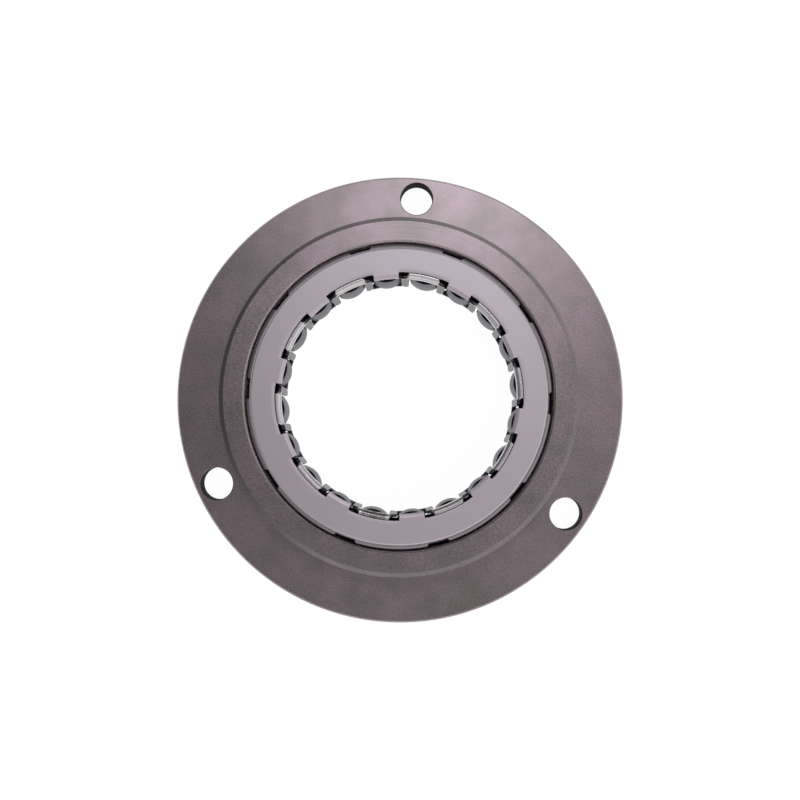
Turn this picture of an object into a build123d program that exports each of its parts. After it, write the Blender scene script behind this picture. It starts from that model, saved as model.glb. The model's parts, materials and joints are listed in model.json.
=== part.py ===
"""Sprag clutch for a starter drive: a flanged outer race with its sprag cage, in millimetres.

The clutch lies on the rear face of its flange. The origin is the centre of that face, and +Z runs
along the clutch axis, out of the open mouth of the race where the hub comes in.
"""
from build123d import *
import os
from math import acos, asin, atan2, cos, degrees, hypot, radians, sin, sqrt, tan

# Hub that the clutch grips, and the room outwards from it
hub_d = 54.9
sprag_space = 9.15      # hub to track
boss_w = 6.0            # track to the boss's outside
flange_w = 12.4         # boss to the flange's rim
register_gap = 3.55     # hub to the register in the web

# Outer race
flange_t = 5.0
race_h = 17.0
web_t = 3.2
boss_chamfer = 1.1
boss_foot_r = 0.6
edge_chamfer = 0.4
mouth_chamfer = 0.25
undercut_w = 0.8
undercut_depth = 0.3

# Bolt holes
bolt_land = 1.25        # flange left between a hole and the rim
bolt_count = 3
bolt_hole_d = 8.1
bolt_start_angle = 85.1
hole_chamfer = 0.3

# How the sprags wedge on the hub
free_grip = 0.15        # free noses stand this far inside the hub's surface
strut_angle = 4.0       # degrees between the wedge line and the hub's radius
cam_rise = 0.585        # seated nose centre lies this far outside the pivot
track_gap = 0.04        # running gap between outer cam and track

# Sprags
sprag_count = 20
first_nose_angle = 5.8
nose_cam_r = 5.1
nose_w = 7.1
heel_w = 6.4
waist_depth = 0.45
sprag_corner_r = 0.3

# Gaps that the cages share
end_gap = 0.3           # between parts end to end
cage_lead = 0.3         # cages stand this many degrees ahead of the noses at rest

# Outer cage
plate_sink = 0.05       # side plate below the boss face
cage_gap = 0.7          # wall to track
sheet_t = 0.7
rail_h = 0.8            # wall below the windows
top_rail_h = 0.55       # wall between windows and side plate
bend_r = 1.2
fold_w = 1.3
fold_depth = 0.18
fold_step = 0.12
window_side_gap = 0.55
tab_gap = 0.2           # tab tips to the hub
tab_side_gap = 0.45     # tab sides to the crossbars
tab_edge_r = 0.45
recess_gap = 0.25       # recess floor to the lip in it
notch_depth = 0.9
notch_floor_w = 4.6
notch_mouth_w = 5.8
notch_drop = 6.0

# Inner cage
hub_gap = 0.3
strip_t = 0.75
crossbar_w = 1.8
crossbar_turn_r = 0.9
crossbar_edge_r = 0.25
lip_w = 1.3
lip_t = 0.75
lip_half_angle = 7.5
lip_crown = 0.35        # lip stands this far past the crossbar ends
lip_round = 0.3

# Ribbon spring
ribbon_gap = 2.5        # inner cage to ribbon
ribbon_t = 0.15
ribbon_end_gap = 0.05
ribbon_bar_w = 1.2
ribbon_bar_turn = 1.7   # degrees from midway between pivots, to clear the tilted flanks
leaf_reach = 1.9
leaf_lean = 0.6
leaf_len = 6.0

# Radii and heights that follow
pitch = 360 / sprag_count
pair_count = sprag_count // 2
hub_r = hub_d / 2
track_r = hub_r + sprag_space
boss_r = track_r + boss_w
flange_r = boss_r + flange_w
register_r = hub_r + register_gap
bolt_hole_r = bolt_hole_d / 2
bolt_circle_r = flange_r - bolt_land - bolt_hole_r
plate_top = race_h - plate_sink
plate_under = plate_top - sheet_t
wall_r = track_r - cage_gap
wall_inner_r = wall_r - sheet_t
cage_bottom = web_t + end_gap
window_bottom = cage_bottom + rail_h
window_top = plate_under - top_rail_h
sprag_bottom = window_bottom + end_gap
sprag_top = window_top - end_gap
strip_r = hub_r + hub_gap
strip_mid_r = strip_r + strip_t / 2
strip_outer_r = strip_r + strip_t
tab_tip_r = hub_r + tab_gap
recess_r = strip_r + lip_w + recess_gap
tab_half_angle = pitch / 2 - degrees((crossbar_w / 2 + tab_side_gap) / strip_mid_r)
ribbon_r = strip_outer_r + ribbon_gap

# Sprag geometry: the heel turns about the pivot, and the nose centre swings round it
strut = radians(strut_angle)
seat_swing = strut - asin(hub_r * sin(strut) / track_r)
seat_centre_r = hub_r + nose_cam_r
pivot_r = seat_centre_r - cam_rise
heel_cam_r = track_r - track_gap - pivot_r
seat_x = seat_centre_r * cos(seat_swing) - pivot_r
seat_y = seat_centre_r * sin(seat_swing)
cam_offset = hypot(seat_x, seat_y)
seat_angle = degrees(atan2(seat_y, seat_x))
free_centre_r = seat_centre_r - free_grip
free_cosine = (free_centre_r**2 - pivot_r**2 - cam_offset**2) / (2 * pivot_r * cam_offset)
free_angle = degrees(acos(free_cosine))
tilt_travel = free_angle - seat_angle
nose_x = cam_offset * cos(radians(free_angle))
nose_y = -cam_offset * sin(radians(free_angle))
nose_lag = degrees(asin(-nose_y / free_centre_r))
pivot_start_angle = first_nose_angle + nose_lag
pocket_start_angle = first_nose_angle + cage_lead

step = 0.01             # reach past a face where a cut runs through it


def circles(part, radius):
    """Circular edges of one radius, lowest first."""
    rims = part.edges().filter_by(GeomType.CIRCLE)
    return rims.filter_by(lambda rim: abs(rim.radius - radius) < step).sort_by(Axis.Z)


def sectors(reach, half_angle, count, start_angle):
    """Triangles from the axis outwards, each half_angle to both sides of its own direction."""
    spread = reach * tan(radians(half_angle))
    with PolarLocations(0, count, start_angle=start_angle):
        Polygon((0, 0), (reach, -spread), (reach, spread), align=None)


def write_part(part, name):
    """Label a finished piece and write its STEP file."""
    part.label = name
    export_step(part, f"parts/{name}.step")


os.makedirs("parts", exist_ok=True)

# Outer race: flange, boss, bore with its bottom web, and the bolt holes
with BuildPart() as outer_race:
    with BuildSketch(Plane.XZ):
        with BuildLine():
            Polyline(
                (register_r, 0),
                (flange_r, 0),
                (flange_r, flange_t),
                (boss_r, flange_t),
                (boss_r, race_h),
                (track_r, race_h),
                (track_r, web_t + undercut_w),
                (track_r + undercut_depth, web_t + undercut_w),
                (track_r + undercut_depth, web_t),
                (register_r, web_t),
                close=True,
            )
        make_face()
    revolve(axis=Axis.Z)
    chamfer(circles(outer_race, boss_r)[-1], boss_chamfer)
    fillet(circles(outer_race, boss_r)[0], boss_foot_r)
    chamfer(circles(outer_race, flange_r), edge_chamfer)
    chamfer(circles(outer_race, register_r), edge_chamfer)
    chamfer(circles(outer_race, track_r)[-1], mouth_chamfer)
    with BuildSketch(Plane.XY):
        with PolarLocations(bolt_circle_r, bolt_count, start_angle=bolt_start_angle):
            Circle(bolt_hole_r)
    extrude(amount=flange_t, mode=Mode.SUBTRACT)
    chamfer(circles(outer_race, bolt_hole_r), hole_chamfer)
write_part(outer_race.part, "outer_race")

# Outer cage: side plate with a fold line, rounded rim and wall, all of one sheet
with BuildPart() as outer_cage:
    with BuildSketch(Plane.XZ):
        with BuildLine():
            fold_r = wall_r - bend_r - fold_step
            plate = Polyline(
                (tab_tip_r, plate_under),
                (tab_tip_r, plate_top),
                (fold_r - fold_w, plate_top),
                (fold_r, plate_top - fold_depth),
                (wall_r - bend_r, plate_top),
            )
            outer_bend = JernArc(plate @ 1, (1, 0), bend_r, -90)
            wall = Polyline(
                outer_bend @ 1,
                (wall_r, cage_bottom),
                (wall_inner_r, cage_bottom),
                (wall_inner_r, plate_top - bend_r),
            )
            inner_bend = JernArc(wall @ 1, (0, 1), bend_r - sheet_t, 90)
            Line(inner_bend @ 1, plate @ 0)
        make_face()
    revolve(axis=Axis.Z)
    # Windows that the sprag heels reach through
    heel_half_w = sqrt(heel_cam_r**2 - (wall_inner_r - pivot_r) ** 2)
    window_w = 2 * (heel_half_w + window_side_gap)
    with BuildSketch(Plane.XY.offset(window_bottom)):
        with PolarLocations(wall_r, sprag_count, start_angle=pivot_start_angle):
            Rectangle(3 * sheet_t, window_w)
    extrude(amount=window_top - window_bottom, mode=Mode.SUBTRACT)
    # Recesses between the tabs
    with BuildSketch(Plane.XY.offset(plate_under)):
        sectors(wall_r, pitch - tab_half_angle, pair_count, pocket_start_angle)
        Circle(recess_r, mode=Mode.INTERSECT)
    extrude(amount=sheet_t, mode=Mode.SUBTRACT)
    # Notches in the rim, which free the ends of every second wall bar
    with BuildSketch(Plane.XY.offset(plate_top)):
        with PolarLocations(0, pair_count, start_angle=pocket_start_angle - pitch / 2):
            Polygon(
                (wall_r - notch_depth, -notch_floor_w / 2),
                (wall_r + step, -notch_mouth_w / 2),
                (wall_r + step, notch_mouth_w / 2),
                (wall_r - notch_depth, notch_floor_w / 2),
                align=None,
            )
    extrude(amount=-notch_drop, mode=Mode.SUBTRACT)
    # Tabs rounded over where the hub enters
    fillet(circles(outer_cage, tab_tip_r).group_by(Axis.Z)[-1], tab_edge_r)
write_part(outer_cage.part, "outer_cage")

# Rolled lips that join the inner cage's crossbars, one set at the near end, one at the far end
lip_top = plate_top
lip_bottom = cage_bottom
lip_mid_r = strip_r + lip_w / 2
lip_arc = lip_half_angle - degrees(lip_w / 2 / lip_mid_r)
with BuildPart() as lips:
    for start, crown, thickness in (
        (pocket_start_angle, lip_top, -lip_t),
        (pocket_start_angle + pitch, lip_bottom, lip_t),
    ):
        with BuildSketch(Plane.XY.offset(crown)):
            with PolarLocations(0, pair_count, start_angle=start):
                SlotArc(CenterArc((0, 0), lip_mid_r, -lip_arc, 2 * lip_arc), lip_w)
        extrude(amount=thickness)
    crowns = lips.edges().filter_by_position(Axis.Z, lip_top - step, lip_top + step)
    soles = lips.edges().filter_by_position(Axis.Z, lip_bottom - step, lip_bottom + step)
    fillet(crowns + soles, lip_round)

# Inner cage: a strip that goes to and fro between the sprags, turned over at each end
strip_top = lip_top - lip_crown
strip_bottom = lip_bottom + lip_crown
with BuildPart() as inner_cage:
    with BuildSketch(Plane.XY.offset(strip_bottom)):
        Circle(strip_outer_r)
        Circle(strip_r, mode=Mode.SUBTRACT)
    extrude(amount=strip_top - strip_bottom)
    # Pockets of one set open at the far end, those of the other set at the near end
    pocket_w = 2 * strip_mid_r * sin(radians(pitch / 2)) - crossbar_w
    for start, low, high in (
        (pocket_start_angle, strip_bottom, window_top),
        (pocket_start_angle + pitch, window_bottom, strip_top),
    ):
        with BuildSketch(Plane.XY.offset(low)):
            with PolarLocations(strip_mid_r, pair_count, start_angle=start):
                Rectangle(3 * strip_t, pocket_w)
        extrude(amount=high - low, mode=Mode.SUBTRACT)
    # Rounded turns where each crossbar ends, and bars rounded towards the hub
    ends = inner_cage.edges().filter_by(GeomType.LINE).filter_by(Axis.Z, reverse=True)
    tops = ends.filter_by_position(Axis.Z, strip_top - step, strip_top + step)
    feet = ends.filter_by_position(Axis.Z, strip_bottom - step, strip_bottom + step)
    fillet(tops + feet, crossbar_turn_r)
    uprights = inner_cage.edges().filter_by(Axis.Z)
    fillet(uprights.filter_by(lambda e: hypot(e.center().X, e.center().Y) < strip_mid_r), crossbar_edge_r)
    add(lips.part)
write_part(inner_cage.part, "inner_cage")

# Ribbon spring: two thin rails, a bar between neighbouring sprags and a leaf on each bar
with BuildPart() as ribbon_spring:
    for low, high in ((cage_bottom, window_bottom), (window_top, plate_under - ribbon_end_gap)):
        with BuildSketch(Plane.XY.offset(low)):
            Circle(ribbon_r + ribbon_t)
            Circle(ribbon_r, mode=Mode.SUBTRACT)
        extrude(amount=high - low)
    bar_start_angle = pivot_start_angle - pitch / 2 - ribbon_bar_turn
    with BuildSketch(Plane.XY.offset(cage_bottom)):
        with PolarLocations(ribbon_r + ribbon_t / 2, sprag_count, start_angle=bar_start_angle):
            Rectangle(ribbon_t, ribbon_bar_w)
    extrude(amount=plate_under - ribbon_end_gap - cage_bottom)
    leaf_low = (sprag_bottom + sprag_top - leaf_len) / 2
    with BuildSketch(Plane.XY.offset(leaf_low)):
        with PolarLocations(0, sprag_count, start_angle=bar_start_angle):
            Polygon(
                (ribbon_r + ribbon_t / 2, -ribbon_t / 2),
                (ribbon_r + leaf_reach, leaf_lean - ribbon_t / 2),
                (ribbon_r + leaf_reach, leaf_lean + ribbon_t / 2),
                (ribbon_r + ribbon_t / 2, ribbon_t / 2),
                align=None,
            )
    extrude(amount=leaf_len)
write_part(ribbon_spring.part, "ribbon_spring")

# Sprags: an outer cam about the pivot, an inner cam about the nose centre, and hollow flanks
heel_x = sqrt(heel_cam_r**2 - (heel_w / 2) ** 2)
nose_end_x = nose_x - sqrt(nose_cam_r**2 - (nose_w / 2) ** 2)
for number in range(sprag_count):
    angle = pivot_start_angle + number * pitch
    outward = Vector(cos(radians(angle)), sin(radians(angle)), 0)
    plane = Plane(outward * pivot_r + Vector(0, 0, sprag_bottom), x_dir=outward, z_dir=(0, 0, 1))
    with BuildPart() as sprag:
        with BuildSketch(plane):
            with BuildLine():
                heel = ThreePointArc((heel_x, -heel_w / 2), (heel_cam_r, 0), (heel_x, heel_w / 2))
                nose = ThreePointArc(
                    (nose_end_x, nose_y + nose_w / 2),
                    (nose_x - nose_cam_r, nose_y),
                    (nose_end_x, nose_y - nose_w / 2),
                )
                upper_waist = (heel @ 1 + nose @ 0) / 2 - Vector(0, waist_depth)
                lower_waist = (heel @ 0 + nose @ 1) / 2 + Vector(0, waist_depth)
                ThreePointArc(heel @ 1, upper_waist, nose @ 0)
                ThreePointArc(nose @ 1, lower_waist, heel @ 0)
            face = make_face()
            fillet(face.vertices(), sprag_corner_r)
        extrude(amount=sprag_top - sprag_bottom)
    write_part(sprag.part, f"sprag_{number + 1:02d}")

print("tilt travel", round(tilt_travel, 2), "degrees, pivot radius", round(pivot_r, 3))
print("heel cam radius", round(heel_cam_r, 3), "first pivot angle", round(pivot_start_angle, 3))
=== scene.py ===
"""Looks of the sprag clutch: turned race, pressed cage, rolled strip, sprags and the studio.

Everything is in metres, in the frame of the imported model. The clutch lies on the floor with its
axis along +Z. New pieces are surfaces worked out with numpy on a grid of rows and columns.
"""

import json
from math import radians

import bmesh
import bpy
import numpy as np
from bpy.props import FloatProperty, FloatVectorProperty, PointerProperty
from mathutils import Matrix, Vector


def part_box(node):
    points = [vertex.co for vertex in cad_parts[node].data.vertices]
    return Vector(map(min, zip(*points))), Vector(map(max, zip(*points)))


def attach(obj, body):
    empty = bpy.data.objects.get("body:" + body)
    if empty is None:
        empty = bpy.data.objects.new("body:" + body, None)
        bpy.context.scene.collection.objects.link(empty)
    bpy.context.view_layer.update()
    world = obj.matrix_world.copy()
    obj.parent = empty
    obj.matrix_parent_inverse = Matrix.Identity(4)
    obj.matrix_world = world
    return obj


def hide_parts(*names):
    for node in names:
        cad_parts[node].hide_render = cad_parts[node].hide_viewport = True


bl_info = {
    "name": "Sprag clutch looks",
    "version": (1, 0, 0),
    "blender": (4, 5, 0),
    "location": "View3D > Sidebar > Sprag clutch",
    "description": "Builds the finished surfaces, materials and studio of a flanged sprag clutch",
    "category": "Object",
}

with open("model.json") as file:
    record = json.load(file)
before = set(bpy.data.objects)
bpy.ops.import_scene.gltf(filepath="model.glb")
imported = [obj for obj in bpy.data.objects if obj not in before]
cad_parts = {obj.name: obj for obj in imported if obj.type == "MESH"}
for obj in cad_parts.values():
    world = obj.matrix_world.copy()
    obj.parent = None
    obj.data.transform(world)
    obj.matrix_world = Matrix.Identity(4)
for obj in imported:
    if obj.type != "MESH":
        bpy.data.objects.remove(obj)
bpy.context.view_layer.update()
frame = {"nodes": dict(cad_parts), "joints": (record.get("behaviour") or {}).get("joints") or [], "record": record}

MM = 0.001
# Points closer together than this become one
MERGE = 0.0005 * MM
SPRAG_COUNT = sum(name.startswith("sprag_") for name in frame["nodes"])
PITCH = 360 / SPRAG_COUNT
PAIR_COUNT = SPRAG_COUNT // 2
RACE_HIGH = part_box("outer_race")[1]
CAGE_LOW, CAGE_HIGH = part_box("outer_cage")
STRIP_LOW, STRIP_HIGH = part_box("inner_cage")
SPRAG_LOW, SPRAG_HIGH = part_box("sprag_01")
MOUNTS = {mount["name"]: mount for mount in frame["record"]["mounts"]}
TILTS = {joint["child"]: joint for joint in frame["joints"] if joint["child"].startswith("sprag_")}
PIVOT_X, PIVOT_Y, _ = TILTS["sprag_01"]["pos_m"]
PIVOT_R = float(np.hypot(PIVOT_X, PIVOT_Y))
PIVOT_START = float(np.degrees(np.arctan2(PIVOT_Y, PIVOT_X)))
# Direction of the first recess in degrees, and the inside of the inner cage's strip
POCKET_START = 6.1
STRIP_INNER = 27.75 * MM


# Property helpers

def length(name, description, millimetres):
    """A length property whose default is given in millimetres."""
    return FloatProperty(name=name, description=description, default=millimetres * MM, precision=5,
                         unit="LENGTH")


def spot(name, description, millimetres):
    """A place whose default is given in millimetres."""
    return FloatVectorProperty(name=name, description=description, default=[v * MM for v in millimetres],
                               size=3, precision=5, subtype="TRANSLATION", unit="LENGTH")


def angle(name, description, degrees_):
    """An angle property whose default is given in degrees."""
    return FloatProperty(name=name, description=description, default=radians(degrees_), subtype="ANGLE")


def colour(name, description, value, most=1):
    """A colour property, in linear values."""
    return FloatVectorProperty(name=name, description=description, default=value, size=3, min=0, max=most,
                               subtype="COLOR")


def share(name, description, value):
    """A plain factor from nought to one."""
    return FloatProperty(name=name, description=description, default=value, min=0, max=1)


def amount(name, description, value, unit="NONE"):
    """A plain number that isn't negative."""
    return FloatProperty(name=name, description=description, default=value, min=0, unit=unit)


class RaceSettings(bpy.types.PropertyGroup):
    """Sizes and finish of the outer race."""
    flange_thickness: length("Flange thickness", "Height of the flange's upper face", 5.0)
    boss_radius: length("Boss radius", "Outside of the raised boss", 42.6)
    boss_chamfer: length("Boss chamfer", "Chamfer round the boss face", 1.1)
    foot_radius: length("Foot radius", "Fillet where the boss meets the flange", 0.6)
    edge_chamfer: length("Edge chamfer", "Chamfer on the flange's rims", 0.4)
    track_radius: length("Track radius", "Hardened bore that the sprags run on", 36.6)
    mouth_chamfer: length("Mouth chamfer", "Chamfer at the mouth of the bore", 0.25)
    web_thickness: length("Web thickness", "Bottom web under the sprags", 3.2)
    undercut_width: length("Undercut width", "Grinding undercut at the bottom of the track", 0.8)
    undercut_depth: length("Undercut depth", "Depth of the grinding undercut", 0.3)
    hole_chamfer: length("Hole chamfer", "Chamfer on the bolt holes", 0.15)
    hole_inset: length("Hole inset", "Drilled wall inside the mount's clearance circle", 0.07)
    first_hole: angle("First hole", "Direction of the first bolt hole", 85.1)
    edge_round: length("Edge round", "Small round left on every turned edge", 0.07)
    steel: colour("Steel", "Ground and tumbled steel", (0.376, 0.338, 0.349))
    # Painted shade: the boss chamfer's colour is darkened to stand for the dark surroundings it reflects
    painted_chamfer_shade: share("Chamfer tone", "Brightness of the turned chamfer against the ground faces", 0.56)
    # Painted shade: the chamfer is darkened further on the arc round this direction, for the dark surroundings it
    # faces there, not for oxide
    painted_shade_arc: angle("Painted shade arc", "Direction in which the chamfer is painted darkest", 165)
    painted_arc_shade: share("Dark tone", "Brightness of the chamfer's dark arc against the rest of it", 0.16)
    # Painted light: the track's mouth is brightened by this factor
    painted_track_light: amount("Track tone", "Brightness of the track's mouth against the faces", 1.9)
    # Painted shade: the bolt holes' drilled walls are darkened by this tone
    painted_hole_shade: share("Hole tone", "Brightness of the drilled walls against the ground faces", 0.1)
    roughness: share("Roughness", "Roughness of the ground faces", 0.34)


class CageSettings(bpy.types.PropertyGroup):
    """Sizes and finish of the pressed outer cage."""
    sheet: length("Sheet", "Thickness of the sheet", 0.7)
    wall_gap: length("Wall gap", "Wall to the race's track", 0.5)
    tip_radius: length("Tip radius", "Radius of the tab tips", 27.65)
    bend_radius: length("Bend radius", "Outside radius of the rim", 0.8)
    rim_land: length("Rim land", "Flat rim between the fold line and the bend", 0.15)
    fold_width: length("Fold width", "Slope down to the fold line", 0.3)
    fold_depth: length("Fold depth", "Depth of the fold line", 0.08)
    fold_step: length("Fold step", "Width of the step at the fold line", 0.12)
    # Painted shade: the rim and wall outside the fold line are darkened by this tone
    painted_rim_shade: share("Rim tone", "Brightness of the rim outside the fold line against the plate", 0.5)
    tab_drop: length("Tab drop", "How far the tab tips are bent down", 0.2)
    tab_bend: length("Tab bend", "Length of the bent tab tips", 0.95)
    recess_gap: length("Recess gap", "Recess floor to the lip in it", 0.13)
    tab_side_gap: length("Tab side gap", "Tab sides to the crossbars", 0.57)
    notch_depth: length("Notch depth", "Depth of the notches in the rim", 0.9)
    notch_floor: length("Notch floor", "Width of a notch at its floor", 4.6)
    notch_mouth: length("Notch mouth", "Width of a notch at the rim", 5.8)
    notch_drop: length("Notch drop", "How far a notch goes down the wall", 6.0)
    window_gap: length("Window gap", "Window side to sprag heel", 0.55)
    rail: length("Rail", "Wall below the windows", 0.8)
    top_rail: length("Top rail", "Wall between windows and side plate", 0.55)
    edge_round: length("Edge round", "Round on the sheet's cut edges", 0.09)
    steel: colour("Steel", "Pressed sheet steel", (0.70, 0.65, 0.69))
    roughness: share("Roughness", "Roughness of the sheet", 0.45)


class StripSettings(bpy.types.PropertyGroup):
    """Sizes and finish of the rolled inner cage."""
    strip: length("Strip", "Thickness of the strip", 0.75)
    crossbar: length("Crossbar", "Width of a crossbar", 1.8)
    lip_width: length("Lip width", "Radial width of a lip", 1.43)
    lip_bend: length("Lip bend", "Outside radius of a lip's bend", 1.0)
    lip_crown: length("Lip crown", "Lips stand this far past the crossbars", 0.35)
    lip_half_angle: angle("Lip half angle", "Half the angle that a lip spans", 8.4)
    lip_end_angle: angle("Lip end angle", "Angle over which a lip's end runs out", 1.5)
    turn_radius: length("Turn radius", "Rounded turn at the ends of the crossbars", 0.9)
    steel: colour("Steel", "Polished strip steel", (0.74, 0.72, 0.73))
    edge_round: length("Edge round", "Round on the strip's cut edges", 0.15)
    # Painted shade: the crossbars are darkened by this tone
    painted_bar_shade: share("Bar tone", "Brightness of the crossbars against the lips", 0.2)
    # Painted shade: the corners beside the near lips and the strip's hidden outside below them are darkened by
    # this tone
    painted_corner_shade: share("Corner tone", "Brightness of the strip beside a near lip against the lip", 0.1)
    weld_at: angle("Weld", "Direction of the lip that carries the strip's weld", 258.1)
    weld_half: angle("Weld half angle", "Half the angle of the heat-tinted lip", 6.2)
    weld_tone: share("Weld tone", "Brightness of the heat-tinted lip", 0.24)
    roughness: share("Roughness", "Roughness of the polished strip", 0.33)


class SpragSettings(bpy.types.PropertyGroup):
    """Sizes and finish of the sprags, as the CAD source works them out."""
    nose_cam_radius: length("Nose cam radius", "Cam that rides on the hub", 5.1)
    nose_width: length("Nose width", "Width across the nose", 7.1)
    heel_cam_radius: length("Heel cam radius", "Cam that rides on the track", 4.595)
    heel_width: length("Heel width", "Width across the heel", 6.4)
    nose_shift_out: length("Nose shift out", "Nose centre outside the pivot", 0.4325)
    nose_shift_side: length("Nose shift side", "Nose centre beside the pivot", -0.692)
    waist: length("Waist", "Depth of the hollow flanks", 0.45)
    corner: length("Corner", "Round on the corners of the section", 0.3)
    end_round: length("End round", "Round on the edges of the end faces", 0.12)
    near_gap: length("Near gap", "Room left between a sprag and the CAD length at the near end", 0.7)
    steel: colour("Steel", "Hardened sprag steel", (0.19, 0.19, 0.215))
    # Painted shade: the sprags' near end faces are darkened by this tone
    painted_end_shade: share("End tone", "Brightness of the end faces against the cams", 0.08)
    roughness: share("Roughness", "Roughness of the cams", 0.55)


class RibbonSettings(bpy.types.PropertyGroup):
    """Sizes of the ribbon spring's turned-in far edge, and the finish of the whole spring."""
    gap: length("Gap", "Inner cage to ribbon", 2.5)
    flange: length("Flange", "Radial width of the turned-in edge", 1.6)
    thickness: length("Thickness", "Thickness of the ribbon", 0.15)
    lift: length("Lift", "Edge above the cage's far end", 0.05)
    # Blued spring steel, made darker still as painted shade for its place deep inside the clutch
    steel: colour("Steel", "Dark spring steel", (0.055, 0.055, 0.075))
    roughness: share("Roughness", "Roughness of the spring strip", 0.45)


class StudioSettings(bpy.types.PropertyGroup):
    """Camera, floor and light."""
    lens: amount("Lens", "Focal length of the camera", 46.58, unit="CAMERA")
    camera_place: spot("Camera place", "Where the camera stands", (3.2, -11.2, 260))
    camera_aim: spot("Camera aim", "What the camera looks at", (0.27, -1.0, 17))
    floor_half: length("Floor half", "Half the side of the floor", 2000)
    floor: colour("Floor", "Floor as the object is lit by it", (0.9, 0.9, 0.9))
    shown_floor: colour("Shown floor", "Part of the seen floor that keeps the shadow", (0.14, 0.14, 0.14))
    floor_glow: share("Floor glow", "Part of the seen floor that is plain white", 0.96)
    ceiling: colour("Ceiling", "What is seen overhead towards the pale side", (0.43, 0.40, 0.415))
    dark_ceiling: colour("Dark ceiling", "What is seen overhead towards the dark side", (0.12, 0.11, 0.115))
    pale_wall: colour("Pale wall", "Surroundings on the pale side", (0.92, 0.88, 0.90))
    dark_wall: colour("Dark wall", "Surroundings on the dark side", (0.14, 0.135, 0.14))
    pale_side: angle("Pale side", "Direction of the pale side", -50)
    lamp_direction: angle("Lamp direction", "Direction of the lamp round the axis", 81)
    lamp_height: angle("Lamp height", "Angle of the lamp above the floor", 71.5)
    lamp_distance: length("Lamp distance", "Lamp to the middle of the floor", 750)
    lamp_width: length("Lamp width", "Width of the soft box", 140)
    lamp_depth: length("Lamp depth", "Depth of the soft box", 120)
    lamp_power: amount("Lamp power", "Power of the lamp", 0.40, unit="POWER")
    lamp_colour: colour("Lamp colour", "Tone of the lamp's light", (1.0, 0.96, 1.02), most=2)


# Mesh helpers

def polar(radius, theta, height):
    """Points at radius r, angle t and height z: (r cos t, r sin t, z), for arrays of any one shape."""
    radius, theta, height = np.broadcast_arrays(radius, theta, height)
    return np.stack((radius * np.cos(theta), radius * np.sin(theta), height), axis=-1)


def revolve(line, theta):
    """Grid of points: each point (r, z) of a line carried round the axis to the angles of its row."""
    return polar(line[:, :1], theta, line[:, 1:])


def units(vectors):
    """Vectors in the same directions, each of length one."""
    return vectors / np.linalg.norm(vectors, axis=-1, keepdims=True)


def arc(centre, radius, start, end, steps):
    """Points on a circle: centre + r (cos t, sin t), t evenly from start to end in degrees."""
    t = np.radians(np.linspace(start, end, steps + 1))
    return np.asarray(centre) + radius * np.stack((np.cos(t), np.sin(t)), axis=-1)


def rounded(corners, steps=4, guard=0.05 * MM, closed=True):
    """Line through corners (x, y, round), each corner replaced by an arc.

    A corner of radius r and turn a leaves its sides r tan(a / 2) before the corner and follows the
    circle that touches both. One guard point on each side keeps the flats flat in shading.
    """
    corners = np.asarray(corners, float)
    count = len(corners)
    points = []
    for index in range(count):
        corner, radius = corners[index, :2], corners[index, 2]
        ends_here = not closed and index in (0, count - 1)
        if ends_here or radius == 0:
            points.append(corner[None])
            continue
        back = units(corners[index - 1, :2] - corner)
        on = units(corners[(index + 1) % count, :2] - corner)
        turn = np.pi - np.arccos(np.clip(back @ on, -1, 1))
        reach = radius * np.tan(turn / 2)
        middle = corner + units(back + on) * radius / np.cos(turn / 2)
        start = corner + back * reach - middle
        side = np.array((-start[1], start[0]))
        side *= np.sign(side @ (corner + on * reach - middle))
        t = np.linspace(0, turn, steps + 1)[:, None]
        bend = middle + start * np.cos(t) + side * np.sin(t)
        points += [corner[None] + back * (reach + guard), bend, corner[None] + on * (reach + guard)]
    return np.vstack(points)


def grid_faces(rows, columns, around_rows=False, around_columns=False):
    """Quads of a grid of rows by columns, as an array (rows, columns, 4) of point numbers."""
    last_row = rows if around_rows else rows - 1
    last_column = columns if around_columns else columns - 1
    i, j = np.meshgrid(np.arange(last_row), np.arange(last_column), indexing="ij")
    i2, j2 = (i + 1) % rows, (j + 1) % columns
    return np.stack((i * columns + j, i * columns + j2, i2 * columns + j2, i2 * columns + j), axis=-1)


def put_mesh(name, shells):
    """One object in the scene from several grids, each given as its points and its quads."""
    points, quads, start = [], [], 0
    for shell_points, shell_quads in shells:
        shell_points = shell_points.reshape(-1, 3)
        points.append(shell_points)
        quads.append(shell_quads.reshape(-1, 4) + start)
        start += len(shell_points)
    points, quads = np.vstack(points), np.vstack(quads)
    mesh = bpy.data.meshes.new(name)
    mesh.vertices.add(len(points))
    mesh.vertices.foreach_set("co", points.astype(np.float32).ravel())
    mesh.loops.add(quads.size)
    mesh.loops.foreach_set("vertex_index", quads.astype(np.int32).ravel())
    mesh.polygons.add(len(quads))
    mesh.polygons.foreach_set("loop_start", np.arange(0, quads.size, 4, dtype=np.int32))
    mesh.update(calc_edges=True)
    mesh.validate()
    piece = bpy.data.objects.new(name, mesh)
    bpy.context.scene.collection.objects.link(piece)
    return piece


def clean(piece, recalculate=False):
    """Merge doubled points, drop loose ones and, where asked, turn a closed shell outwards."""
    work = bmesh.new()
    work.from_mesh(piece.data)
    bmesh.ops.remove_doubles(work, verts=work.verts, dist=MERGE)
    loose = [vert for vert in work.verts if not vert.link_faces]
    bmesh.ops.delete(work, geom=loose, context="VERTS")
    if recalculate:
        bmesh.ops.recalc_face_normals(work, faces=work.faces)
    work.to_mesh(piece.data)
    work.free()


def smooth(piece, sharp_degrees=32):
    """Smooth shading, with edges sharper than an angle kept crisp."""
    mesh = piece.data
    mesh.polygons.foreach_set("use_smooth", np.ones(len(mesh.polygons), bool))
    mesh.set_sharp_from_angle(angle=radians(sharp_degrees))


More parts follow.
